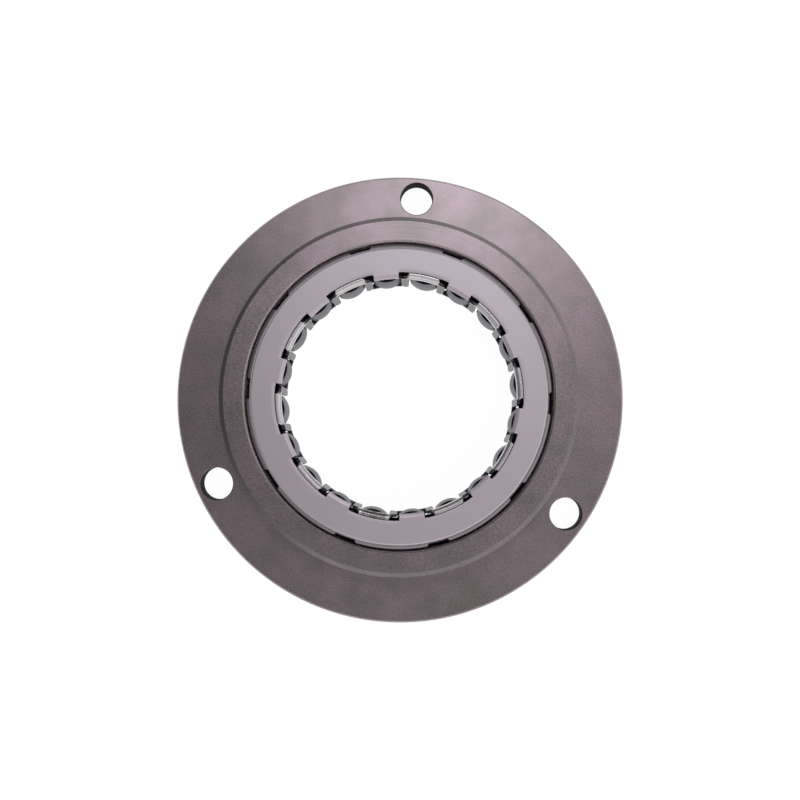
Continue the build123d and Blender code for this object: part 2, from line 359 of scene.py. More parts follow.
def finish_solid(piece):
    """Tidy a closed solid's mesh, turn it outwards and shade it."""
    clean(piece, recalculate=True)
    smooth(piece)


def finish_sheet(piece):
    """Tidy a sheet's mesh and shade it with its flats flat."""
    clean(piece)
    smooth(piece, sharp_degrees=38)
    piece.modifiers.new("Flats", "WEIGHTED_NORMAL").keep_sharp = True


def seat(piece, body, slot, material, *nodes):
    """Give a piece its material and its body, and hide the CAD nodes that it stands for. The slot is not used."""
    piece.data.materials.append(bpy.data.materials[material])
    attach(piece, body)
    if nodes:
        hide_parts(*nodes)


# Shader helpers

def add(tree, kind, **values):
    """A node of a kind, with its sockets or fields set by name."""
    node = tree.nodes.new(kind)
    for key, value in values.items():
        if key in node.inputs:
            node.inputs[key].default_value = value
        else:
            setattr(node, key, value)
    return node


def feed(tree, target, value):
    """Link a socket to a target socket, or set the target to a number, a vector or a colour."""
    if isinstance(value, bpy.types.NodeSocket):
        tree.links.new(value, target)
    elif target.type == "RGBA":
        target.default_value = (*value, 1)
    else:
        target.default_value = value


def maths(tree, operation, *values):
    """The result of a Math node on sockets or numbers."""
    node = add(tree, "ShaderNodeMath", operation=operation)
    for target, value in zip(node.inputs, values):
        feed(tree, target, value)
    return node.outputs[0]


def dot(tree, place, direction):
    """The dot product of a vector socket and a fixed direction."""
    node = add(tree, "ShaderNodeVectorMath", operation="DOT_PRODUCT")
    feed(tree, node.inputs[0], place)
    feed(tree, node.inputs[1], direction)
    return node.outputs["Value"]


def ranged(tree, source, low, high, from_low=0.3, from_high=0.7):
    """A value taken between two levels and mapped onto a range."""
    node = add(tree, "ShaderNodeMapRange", **{
        "From Min": from_low, "From Max": from_high, "To Min": low, "To Max": high})
    feed(tree, node.inputs["Value"], source)
    return node.outputs["Result"]


def mixed(tree, factor, first, second, blend="MIX"):
    """Colour mix of two colours or sockets by a factor socket or number."""
    node = add(tree, "ShaderNodeMix", data_type="RGBA", blend_type=blend)
    for key, value in (("Factor", factor), (6, first), (7, second)):
        feed(tree, node.inputs[key], value)
    return node.outputs[2]


def noise(tree, place, scale, detail, roughness, dimensions="3D"):
    """Noise from 0 to 1 at a place, with a scale per metre."""
    node = add(tree, "ShaderNodeTexNoise", noise_dimensions=dimensions, Detail=detail, Roughness=roughness)
    feed(tree, node.inputs["W" if dimensions == "1D" else "Vector"], place)
    feed(tree, node.inputs["Scale"], scale)
    return node.outputs["Fac"]


def object_place(tree):
    """Object coordinates: the place, its parts X, Y and Z, and its distance from the axis."""
    place = add(tree, "ShaderNodeTexCoord").outputs["Object"]
    parts = add(tree, "ShaderNodeSeparateXYZ")
    flat = add(tree, "ShaderNodeVectorMath", operation="MULTIPLY")
    flat.inputs[1].default_value = (1, 1, 0)
    radius = add(tree, "ShaderNodeVectorMath", operation="LENGTH")
    for source, target in ((place, parts), (place, flat), (flat.outputs[0], radius)):
        feed(tree, target.inputs[0], source)
    return place, parts.outputs, radius.outputs["Value"]


def open_group(name, inputs=()):
    """An empty shader group, and its number inputs, given as pairs of a label and a default."""
    tree = bpy.data.node_groups.new(name, "ShaderNodeTree")
    for label, default in inputs:
        socket = tree.interface.new_socket(name=label, in_out="INPUT", socket_type="NodeSocketFloat")
        socket.default_value = default
    return tree, add(tree, "NodeGroupInput").outputs


def close_group(tree, results):
    """Give a shader group a number output for each named result."""
    for label in results:
        tree.interface.new_socket(name=label, in_out="OUTPUT", socket_type="NodeSocketFloat")
    out = add(tree, "NodeGroupOutput")
    for label, value in results.items():
        tree.links.new(value, out.inputs[label])


def grain_group():
    """Fine speckle of a tumbled steel face, slow clouds of tone, and a tint coarser than the speckle."""
    tree, given = open_group("Steel grain", (("Grains per metre", 3500.0), ("Clouds per metre", 90.0)))
    place = add(tree, "ShaderNodeTexCoord").outputs["Object"]
    grains = given["Grains per metre"]
    close_group(tree, {
        "Grain": noise(tree, place, grains, detail=3.0, roughness=0.65),
        "Cloud": noise(tree, place, given["Clouds per metre"], detail=4.0, roughness=0.55),
        "Tint": noise(tree, place, maths(tree, "MULTIPLY", grains, 0.45), detail=2.0, roughness=0.6)})


def turning_group():
    """Concentric tool marks: noise along the radius, the same all the way round."""
    tree, given = open_group("Turning marks", (("Rings per metre", 2500.0),))
    radius = object_place(tree)[2]
    rings = noise(tree, radius, given["Rings per metre"], detail=2.0, roughness=0.7, dimensions="1D")
    close_group(tree, {"Ring": rings})


def race_places_group(race):
    """Masks of painted shade on the boss chamfer, its dark arc and the bolt holes' walls, and of painted light on
    the track's mouth.

    With c the cosine of the angle from the dark arc's direction, the dark arc goes from nought to
    one over the chamfer as c goes from 0.1 to 0.97.
    """
    tree, _ = open_group("Race places")
    place, parts, radius = object_place(tree)

    def band(middle_r, reach_r, middle_z, reach_z):
        """One where the radius and the height both lie within a reach of a middle value."""
        return maths(tree, "MULTIPLY", maths(tree, "COMPARE", radius, middle_r, reach_r),
                     maths(tree, "COMPARE", parts["Z"], middle_z, reach_z))

    rim, top, flange, boss = RACE_HIGH.x, RACE_HIGH.z, race.flange_thickness, race.boss_radius
    half_bevel = race.boss_chamfer / 2
    chamfer_r = boss - half_bevel
    chamfer = band(chamfer_r, half_bevel, top - half_bevel, half_bevel + 0.02 * MM)
    cosine = dot(tree, place, polar(1 / chamfer_r, race.painted_shade_arc, 0))
    close_group(tree, {
        "Chamfer": chamfer,
        "Painted shade arc": maths(tree, "MULTIPLY", ranged(tree, cosine, 0, 1, 0.1, 0.97), chamfer),
        "Hole": band((boss + rim) / 2, (rim - boss) / 2 - 0.7 * MM, flange / 2, flange / 2 - 0.1 * MM),
        "Track": band(race.track_radius, 0.06 * MM, top - 3.2 * MM, 3.0 * MM)})


def strip_places_group(strip):
    """Masks of painted shade on the strip's crossbars and on the corners beside its lips, and of the welded lip's
    heat tint.

    The bars fade out upwards where the near lips begin to bend. The corners are what lies beside the
    flat arc of a near lip near the top, and what lies outside the strip below the near lips. The
    weld is the span round its direction, broken up by streaks.
    """
    tree, _ = open_group("Strip places")
    place, parts, radius = object_place(tree)
    direction = maths(tree, "ARCTAN2", parts["Y"], parts["X"])

    def away(middle, half_span):
        """Angle from a direction to the nearest of the middles, which are two half spans apart."""
        turn = maths(tree, "SUBTRACT", direction, middle)
        return maths(tree, "ABSOLUTE", maths(tree, "WRAP", turn, half_span, -half_span))

    fade = 0.6 * MM
    lip_low = STRIP_HIGH.z - strip.lip_bend - fade
    flat = strip.lip_half_angle - strip.lip_end_angle
    beside = ranged(tree, away(radians(POCKET_START), radians(PITCH)), 0, 1,
                    flat + radians(0.2), flat + radians(1.4))
    high = maths(tree, "GREATER_THAN", parts["Z"], STRIP_HIGH.z - strip.lip_crown - fade)
    outside = maths(tree, "GREATER_THAN", radius, STRIP_INNER + strip.strip + 0.08 * MM)
    below = maths(tree, "LESS_THAN", parts["Z"], lip_low)
    tinted = ranged(tree, away(strip.weld_at, np.pi), 1, 0, strip.weld_half - radians(1.0), strip.weld_half)
    streaks = noise(tree, place, 1600.0, detail=3.0, roughness=0.7)
    close_group(tree, {
        "Bar": ranged(tree, parts["Z"], 1, 0, lip_low, lip_low + fade),
        "Corner": maths(tree, "MAXIMUM", maths(tree, "MULTIPLY", beside, high),
                        maths(tree, "MULTIPLY", outside, below)),
        "Weld": maths(tree, "MULTIPLY", tinted, ranged(tree, streaks, 0.45, 1, 0.4, 0.6))})


def cage_places_group(race, cage):
    """Mask of painted shade on the outer cage's rim and wall, by radius beyond the fold line."""
    tree, _ = open_group("Cage places")
    radius = object_place(tree)[2]
    fold_r = race.track_radius - cage.wall_gap - cage.bend_radius - cage.rim_land - cage.fold_step
    close_group(tree, {"Rim": ranged(tree, radius, 0, 1, fold_r, fold_r + 0.05 * MM)})


def sprag_places_group(sprag):
    """Mask of painted shade on the sprags' near end faces, by height."""
    tree, _ = open_group("Sprag places")
    parts = object_place(tree)[1]
    high = SPRAG_HIGH.z - sprag.near_gap
    close_group(tree, {"End": ranged(tree, parts["Z"], 0, 1, high - 0.05 * MM, high - 0.03 * MM)})


def new_material(name):
    """A material with its node tree and its Principled BSDF."""
    material = bpy.data.materials.new(name)
    material.use_nodes = True
    return material, material.node_tree, material.node_tree.nodes["Principled BSDF"]


def steel(name, base, roughness, grain, clouds, grain_share, cloud_share, bump, rings=0.0, anisotropy=0.0,
          warm=(1, 1, 1), cloud=(0.75, 0.75, 0.75), edge_tint=(1, 1, 1)):
    """Metal with speckle, slow clouds, a tint, fine relief and, where asked, turning marks.

    Grain, clouds and rings are scales per metre. The shares say how far the speckle moves the
    colour and how much of the cloud colour shows. The warm colour multiplies the tinted places, and
    the edge tint colours the reflection at grazing angles.
    """
    material, tree, shader = new_material(name)
    surface = add(tree, "ShaderNodeGroup", node_tree=bpy.data.node_groups["Steel grain"])
    surface.inputs["Grains per metre"].default_value = grain
    surface.inputs["Clouds per metre"].default_value = clouds
    speckle, clouding, tint = surface.outputs
    darker = tuple(c * (1 - grain_share) for c in base)
    lighter = tuple(min(1, c * (1 + grain_share)) for c in base)
    shade = mixed(tree, ranged(tree, speckle, 0, 1), darker, lighter)
    shade = mixed(tree, ranged(tree, clouding, 0, cloud_share, 0.35, 0.65), shade, cloud, "MULTIPLY")
    shade = mixed(tree, ranged(tree, tint, 0, 1), shade, mixed(tree, 1.0, shade, warm, "MULTIPLY"))
    spread = 0.2 * grain_share
    height = speckle
    if rings:
        marks = add(tree, "ShaderNodeGroup", node_tree=bpy.data.node_groups["Turning marks"])
        marks.inputs["Rings per metre"].default_value = rings
        height = maths(tree, "ADD", speckle, marks.outputs["Ring"])
    relief = add(tree, "ShaderNodeBump", Strength=bump, Distance=0.02 * MM)
    feed(tree, relief.inputs["Height"], height)
    feed(tree, shader.inputs["Base Color"], shade)
    feed(tree, shader.inputs["Roughness"], ranged(tree, speckle, roughness - spread, roughness + spread))
    feed(tree, shader.inputs["Normal"], relief.outputs["Normal"])
    feed(tree, shader.inputs["Metallic"], 1.0)
    feed(tree, shader.inputs["Specular Tint"], edge_tint)
    if anisotropy:
        feed(tree, shader.inputs["Anisotropic"], anisotropy)
        tangent = add(tree, "ShaderNodeTangent", direction_type="RADIAL", axis="Z")
        feed(tree, shader.inputs["Tangent"], tangent.outputs["Tangent"])
    return material


# Pieces

class CLUTCH_OT_turn_race(bpy.types.Operator):
    """Turn the outer race: a profile carried round the axis, with patches round the bolt holes"""
    bl_idname = "clutch.turn_race"
    bl_label = "Turn outer race"

    # Mesh columns round the race, and the rows and half the columns that each hole's patch takes
    columns = 480
    patch_rows = 12
    patch_columns = 12

    def profile(self, race):
        """Section of the race in radius and height, counter-clockwise.

        With it come the first row of the flange's lower flat, that of its upper flat, and the radii
        between which both flats lie.
        """
        rim, top, round_ = RACE_HIGH.x, RACE_HIGH.z, race.edge_round
        register = MOUNTS["rear_register"]["dims"]["r_mm"] * MM
        margin = 0.2 * MM
        flat_low = race.boss_radius + race.foot_radius + margin
        flat_high = rim - race.edge_chamfer - margin
        track, web = race.track_radius, race.web_thickness
        cut = race.undercut_depth
        flange = race.flange_thickness
        bevel, boss, mouth = race.edge_chamfer, race.boss_chamfer, race.mouth_chamfer
        lower = rounded([
            (register, web - bevel, round_), (register, bevel, round_), (register + bevel, 0, round_),
            (flat_low, 0, 0)], closed=False)
        flat = np.linspace(flat_low, flat_high, self.patch_rows + 1)
        bottom = np.stack((flat, np.zeros(len(flat))), axis=-1)
        outer = rounded([
            (flat_high, 0, 0), (rim - bevel, 0, round_), (rim, bevel, round_), (rim, flange - bevel, round_),
            (rim - bevel, flange, round_), (flat_high, flange, 0)], closed=False)
        upper = np.stack((flat[::-1], np.full(len(flat), flange)), axis=-1)
        boss_side = rounded([
            (flat_low, flange, 0), (race.boss_radius, flange, race.foot_radius),
            (race.boss_radius, top - boss, round_), (race.boss_radius - boss, top, round_),
            (track + mouth, top, round_), (track, top - mouth, round_),
            (track, web + race.undercut_width, round_), (track + cut, web + race.undercut_width, round_),
            (track + cut, web, round_), (register + bevel, web, round_), (register, web - bevel, 0)],
            closed=False)
        parts = [lower[:-1], bottom[:-1], outer[1:-1], upper, boss_side[1:-1]]
        starts = np.cumsum([0] + [len(part) for part in parts])
        return np.vstack(parts), starts[1], starts[3], (flat_low, flat_high)

    def execute(self, context):
        race = context.scene.clutch_race
        line, bottom_row, upper_row, (flat_low, flat_high) = self.profile(race)
        holes = MOUNTS["bolt_circle"]["dims"]
        start = race.first_hole
        step = 2 * np.pi / self.columns
        theta = start + step * np.arange(self.columns)
        ring = revolve(line, theta[None])
        quads = grid_faces(len(line), self.columns, True, True)
        keep = np.ones(quads.shape[:2], bool)
        per_hole = self.columns // holes["count"]
        patch = (np.arange(-self.patch_columns, self.patch_columns)[None]
                 + per_hole * np.arange(holes["count"])[:, None]) % self.columns
        rows = np.r_[bottom_row:bottom_row + self.patch_rows, upper_row:upper_row + self.patch_rows]
        keep[np.ix_(rows, patch.ravel())] = False
        shells = [(ring, quads[keep])]
        for number in range(holes["count"]):
            shells.append(self.hole_patch(race, start + number * per_hole * step, step, flat_low, flat_high))
        piece = put_mesh("race_turned", shells)
        finish_solid(piece)
        seat(piece, "race", "race_steel", "Race steel", "outer_race")
        return {"FINISHED"}

    def hole_patch(self, race, middle, step, flat_low, flat_high):
        """Rings from the edge of a patch of the flange, over the hole's chamfers and down its wall.

        Each ring lies a share of the way from the patch's outline to the circle of the hole, seen
        from the hole's centre.
        """
        holes = MOUNTS["bolt_circle"]["dims"]
        count = self.patch_columns
        swing = middle + step * np.arange(-count, count + 1)
        radii = np.linspace(flat_low, flat_high, self.patch_rows + 1)
        edge_r = np.r_[np.full(2 * count, flat_low), radii[:-1], np.full(2 * count, flat_high), radii[:0:-1]]
        edge_t = np.r_[swing[:-1], np.full(self.patch_rows, swing[-1]), swing[:0:-1],
                       np.full(self.patch_rows, swing[0])]
        outline = polar(edge_r, edge_t, 0)[:, :2]
        centre = polar(holes["pcd_mm"] * MM / 2, middle, 0)[:2]
        away = units(outline - centre)
        hole_r = holes["hole_r_mm"] * MM - race.hole_inset
        bevel, flange, round_ = race.hole_chamfer, race.flange_thickness, race.edge_round
        collar = hole_r + bevel + 0.3 * MM
        wall = rounded([
            (collar, flange, 0), (hole_r + bevel, flange, round_), (hole_r, flange - bevel, round_),
            (hole_r, bevel, round_), (hole_r + bevel, 0, round_), (collar, 0, 0)], closed=False)
        shares = np.array((0, 0.3, 0.6, 0.85))[:, None, None]
        spread = outline * (1 - shares) + (centre + away * collar) * shares
        bore = centre + away * wall[:, 0][:, None, None]
        flat = np.vstack((spread, bore, spread[::-1]))
        height = np.r_[np.full(len(spread), flange), wall[:, 1], np.zeros(len(spread))]
        points = np.concatenate((flat, np.broadcast_to(height[:, None, None], (*flat.shape[:2], 1))), axis=2)
        return points, grid_faces(*points.shape[:2], False, True)


def sheet_shell(shown, hidden, keep, edge, steps=3):
    """Sheet between a shown and a hidden grid, where a mask of cells says what is there.

    The cut edges are rounded. With n the way through the sheet and m the way out over a cut edge,
    mitred at corners, the edge runs through P - m e (1 - sin t) - n e (1 - cos t) for t from 0 to
    90 degrees, and back in the same way on the hidden side. The columns run round the axis.
    """
    rows, columns = shown.shape[:2]
    count = rows * columns
    quads = grid_faces(rows, columns, False, True)
    shown, hidden = shown.reshape(-1, 3).copy(), hidden.reshape(-1, 3).copy()
    through = units(shown - hidden)
    bare = ~keep
    beyond = np.ones((1, columns), bool)
    sides = ((0, 1, np.vstack((beyond, bare[:-1]))), (1, 2, np.roll(bare, -1, axis=1)),
             (2, 3, np.vstack((bare[1:], beyond))), (3, 0, np.roll(bare, 1, axis=1)))
    edges = np.vstack([quads[keep & free][:, [a, b]] for a, b, free in sides])
    faces = quads[keep]
    corner, beside, _, above = shown[faces[0]]
    if np.cross(beside - corner, above - corner) @ through[faces[0, 0]] < 0:
        faces, edges = faces[:, ::-1], edges[:, ::-1]
    start, end = edges.T
    along = shown[end] - shown[start]
    mitre = np.zeros_like(shown)
    for tip in (start, end):
        np.add.at(mitre, tip, units(np.cross(along, through[tip])))
    rim = np.unique(edges)
    number = np.zeros(count, int)
    number[rim] = np.arange(len(rim))
    out = mitre[rim]
    out *= 2 / np.maximum((out * out).sum(axis=1), 1.0)[:, None]
    thick = through[rim]
    t = np.radians(np.linspace(0, 90, steps + 1))[:, None, None]
    near = shown[rim] - out * edge * (1 - np.sin(t)) - thick * edge * (1 - np.cos(t))
    far = hidden[rim] - out * edge * (1 - np.sin(t)) + thick * edge * (1 - np.cos(t))
    shown[rim], hidden[rim] = near[0], far[0]
    between = np.vstack((near[1:], far[:0:-1]))
    points = np.vstack((shown, hidden, between.reshape(-1, 3)))
    base = 2 * count + len(rim) * np.arange(len(between))[:, None]
    rows_start = np.vstack((start, base + number[start], start + count))
    rows_end = np.vstack((end, base + number[end], end + count))
    band = np.stack((rows_end[:-1], rows_start[:-1], rows_start[1:], rows_end[1:]), axis=-1)
    return points, np.vstack((faces, faces[:, ::-1] + count, band.reshape(-1, 4)))


def through_normals(points):
    """Unit normals of a grid whose columns run round the axis, by differences of neighbours."""
    up = np.gradient(points, axis=0)
    across = np.roll(points, -1, axis=1) - np.roll(points, 1, axis=1)
    return units(np.cross(across, up))


def offset_line(line, distance):
    """A line in the plane moved sideways to its right, mitred at every point."""
    along = units(np.diff(line, axis=0))
    right = np.stack((along[:, 1], -along[:, 0]), axis=-1)
    both = np.vstack((right[:1], right)) + np.vstack((right, right[-1:]))
    both *= 2 / (both * both).sum(axis=1)[:, None]
    return line + both * distance


class CLUTCH_OT_press_cage(bpy.types.Operator):
    """Press the outer cage: one sheet with tabs, recesses, rim notches and windows"""
    bl_idname = "clutch.press_cage"
    bl_label = "Press outer cage"

    # Mesh columns over one tab and one recess
    per_pair = 72

    def line(self, cage, recess_r, wall_r, floor_r, window_low):
        """Section from tab tip over plate, fold line and rim down the wall, and each row's cut-outs.

        Kind 0 rows meet the recesses, kind 1 rows the notches and kind 2 rows the windows.
        """
        top, bottom, bend = CAGE_HIGH.z, CAGE_LOW.z, cage.bend_radius
        fold_r = wall_r - bend - cage.rim_land - cage.fold_step
        plate = rounded([
            (cage.tip_radius, top - cage.tab_drop, 0), (cage.tip_radius + cage.tab_bend, top, 0.3 * MM),
            (recess_r, top, 0), (recess_r + 1.0 * MM, top, 0),
            (fold_r - cage.fold_width, top, 0.1 * MM), (fold_r, top - cage.fold_depth, 0.03 * MM),
            (fold_r + cage.fold_step, top, 0)], guard=0.02 * MM, closed=False)
        rim = np.vstack(((floor_r, top), arc((wall_r - bend, top - bend), bend, 90, 0, 8)))
        window_high, notch_low = top - cage.sheet - cage.top_rail, top - cage.notch_drop
        heights = np.hstack((
            np.linspace(window_high, notch_low, 4), np.linspace(notch_low, window_low, 5)[1:],
            (window_low + bottom) / 2, bottom))
        wall = np.stack((np.full(len(heights), wall_r), heights), axis=-1)
        line = np.vstack((plate, rim, wall))
        kind = np.r_[np.zeros(len(plate), int), np.ones(len(rim), int), np.full(len(wall), 2)]
        return line, kind

    def execute(self, context):
        scene = context.scene
        race, cage, strip, sprag = (
            scene.clutch_race, scene.clutch_cage, scene.clutch_strip, scene.clutch_sprag)
        top, bottom, wall_r = CAGE_HIGH.z, CAGE_LOW.z, race.track_radius - cage.wall_gap
        recess_r = STRIP_INNER + strip.lip_width + cage.recess_gap
        floor_r = wall_r - cage.notch_depth
        window_low = bottom + cage.rail
        line, kind = self.line(cage, recess_r, wall_r, floor_r, window_low)
        radius, height = line.T
        hidden = offset_line(line, cage.sheet)
        # Edges of the cut-outs, from the middle of a recess
        count, pair = self.per_pair, 2 * PITCH
        strip_mid = STRIP_INNER + strip.strip / 2
        recess_half = PITCH / 2 + np.degrees((strip.crossbar / 2 + cage.tab_side_gap) / strip_mid)
        heel_half = np.sqrt(sprag.heel_cam_radius**2 - (wall_r - cage.sheet - PIVOT_R) ** 2)
        window_half = np.degrees((heel_half + cage.window_gap) / wall_r)
        window_at = PIVOT_START - POCKET_START
        outward = np.clip((radius - floor_r) / cage.notch_depth, 0, 1)
        notch_width = cage.notch_floor + (cage.notch_mouth - cage.notch_floor) * outward
        notch_half = np.degrees(notch_width / 2 / radius)
        windows = (window_at - PITCH + window_half, window_at - window_half, window_at + window_half,
                   window_at + PITCH - window_half)
        local = np.arange(count) - count // 2
        moved = np.empty((len(line), count))
        gone = np.zeros((len(line) - 1, count), bool)
        slack = 0.01 * MM
        # In each row the mesh columns are moved, so that one lies on every edge of its cut-outs
        for row in range(len(line)):
            notch = (-PITCH / 2 - notch_half[row], -PITCH / 2 + notch_half[row])
            edges = ((-recess_half, recess_half), notch, windows)[kind[row]]
            nearest = np.round(np.array(edges) * count / pair).astype(int)
            moved[row] = np.interp(local, np.r_[-count // 2, nearest, count // 2],
                                   np.r_[-pair / 2, edges, pair / 2])
            at = nearest + count // 2
            if row < len(gone):
                in_notch = height[row + 1] > top - cage.notch_drop - slack
                if kind[row] == 0 and radius[row] < recess_r - 0.1 * MM:
                    gone[row, at[0]:at[1]] = True
                if radius[row] > floor_r - slack and in_notch:
                    low, high = np.round(np.array(notch) * count / pair).astype(int) + count // 2
                    gone[row, low:high] = True
                if kind[row] == 2 and height[row + 1] > window_low - slack:
                    gone[row] = True
                    gone[row, at[0]:at[1]] = in_notch
                    gone[row, at[2]:at[3]] = False
        middles = POCKET_START + pair * np.arange(PAIR_COUNT)
        theta = np.radians(moved[:, None, :] + middles[None, :, None]).reshape(len(line), -1)
        keep = ~np.tile(gone, (1, PAIR_COUNT))
        shell = sheet_shell(revolve(line, theta), revolve(hidden, theta), keep, cage.edge_round)
        piece = put_mesh("cage_pressed", [shell])
        finish_sheet(piece)
        seat(piece, "cage", "cage_sheet", "Cage sheet", "outer_cage")
        return {"FINISHED"}


class CLUTCH_OT_roll_strip(bpy.types.Operator):
    """Roll the inner cage: crossbars joined by a turned-over lip at the near and the far end in turns"""
    bl_idname = "clutch.roll_strip"
    bl_label = "Roll inner cage"

    seed = 7
    # Range of the dents' place in degrees from a lip's middle, and of their depth in millimetres
    dent_place = (-1.6, 1.6)
    dent_depth = (0.02, 0.07)

    def dents(self, across, place, depth):
        """Two dents 0.8 degrees apart, the second 0.7 as deep, each a bell curve along the lip."""
        first, second = (across - place) / 0.22, (across - place - 0.8) / 0.18
        return depth * (np.exp(-first**2) + 0.7 * np.exp(-second**2))

    def unit(self, strip, dent_place, dent_depth):
        """Angles, radii and heights of a near lip and its half crossbars, and the cells that are there.

        Rows run up the bars and on over the lip. Across, the lip's line fades at both ends from the
        full turn to the straight bar by 3 s^2 - 2 s^3, with s from nought to one over the lip's end.
        """
        top, foot_z = STRIP_HIGH.z, STRIP_LOW.z + strip.lip_crown
        crown, bar_half = strip.lip_crown, np.degrees(strip.crossbar / 2 / STRIP_INNER)
        pocket = PITCH / 2 - bar_half
        cage = bpy.context.scene.clutch_cage
        window_high = top - cage.sheet - cage.top_rail
        end = np.degrees(strip.lip_end_angle)
        full = np.degrees(strip.lip_half_angle) - end
        side = np.unique(np.round(np.r_[np.linspace(pocket, PITCH / 2, 7), np.linspace(full, pocket, 6)], 6))
        inner = np.linspace(0, full, 25)[:-1]
        half = np.r_[inner, side]
        across = np.r_[-half[::-1], half[1:]]
        turn = strip.turn_radius
        inward = np.clip((PITCH / 2 - np.abs(across)) / bar_half, 0, 1)
        foot = foot_z + turn * (1 - np.sqrt(np.clip(1 - inward**2, 0, 1)))
        straight_low = foot_z + turn + 0.4 * MM
        bend_z = top - strip.lip_bend
        up = np.linspace(0, 1, 5)
        low_rows = foot[None] + (straight_low - foot[None]) * up[:, None]
        open_mid = np.linspace(straight_low, window_high, 8)[1:]
        mid = np.r_[open_mid, (window_high + bend_z) / 2]
        t = np.radians(np.linspace(0, 90, 10))
        flat = strip.lip_width - strip.lip_bend
        lip_r = STRIP_INNER + np.r_[strip.lip_bend * (1 - np.cos(t)), strip.lip_bend + flat / 2,
                                    strip.lip_width]
        lip_z = np.r_[bend_z + strip.lip_bend * np.sin(t), top, top]
        plain_z = np.linspace(bend_z, top - crown, len(lip_z))
        fade = np.clip((full + end - np.abs(across)) / end, 0, 1)
        fade = fade * fade * (3 - 2 * fade)
        plain = len(up) + len(mid)
        radius = np.vstack((np.full((plain, len(across)), STRIP_INNER),
                            STRIP_INNER + (lip_r - STRIP_INNER)[:, None] * fade))
        height = np.vstack((low_rows, np.broadcast_to(mid[:, None], (len(mid), len(across))),
                            plain_z[:, None] + (lip_z - plain_z)[:, None] * fade))
        ridge = np.r_[np.zeros(plain), np.sin(np.linspace(0, np.pi, len(lip_z)))]
        height -= self.dents(across, dent_place, dent_depth) * ridge[:, None]
        # Towards the middle of a crossbar the rows spread out evenly, so that both ends meet
        even = np.linspace(foot_z, top - crown, len(height))[:, None]
        share_even = (np.clip((np.abs(across) - pocket) / bar_half, 0, 1) ** 2)[None]
        height += (even - height) * share_even
        open_rows = np.arange(len(height) - 1) < len(up) + len(open_mid) - 1
        pocket_cells = np.abs((across[1:] + across[:-1]) / 2) < pocket
        return across, radius, height, ~(open_rows[:, None] & pocket_cells[None])

    def execute(self, context):
        strip = context.scene.clutch_strip
        draw = np.random.default_rng(self.seed)
        angles, radii, heights, keeps = [], [], [], []
        for number in range(SPRAG_COUNT):
            place, depth = draw.uniform(*self.dent_place), draw.uniform(*self.dent_depth) * MM
            across, radius, height, keep = self.unit(strip, place, depth)
            if number % 2:
                radius, keep = radius[::-1], keep[::-1]
                height = STRIP_HIGH.z + STRIP_LOW.z - height[::-1]
            angles.append(POCKET_START + number * PITCH + across[:-1])
            radii.append(radius[:, :-1])
            heights.append(height[:, :-1])
            keeps.append(keep)
        shown = polar(np.hstack(radii), np.radians(np.hstack(angles))[None], np.hstack(heights))
        through = through_normals(shown)
        if through[0, 0] @ shown[0, 0] > 0:
            through = -through
        behind = shown - through * strip.strip
        piece = put_mesh("cage_strip", [sheet_shell(shown, behind, np.hstack(keeps), strip.edge_round)])
        finish_sheet(piece)
        seat(piece, "phasing_cage", "rolled_strip", "Rolled strip", "inner_cage")
        return {"FINISHED"}


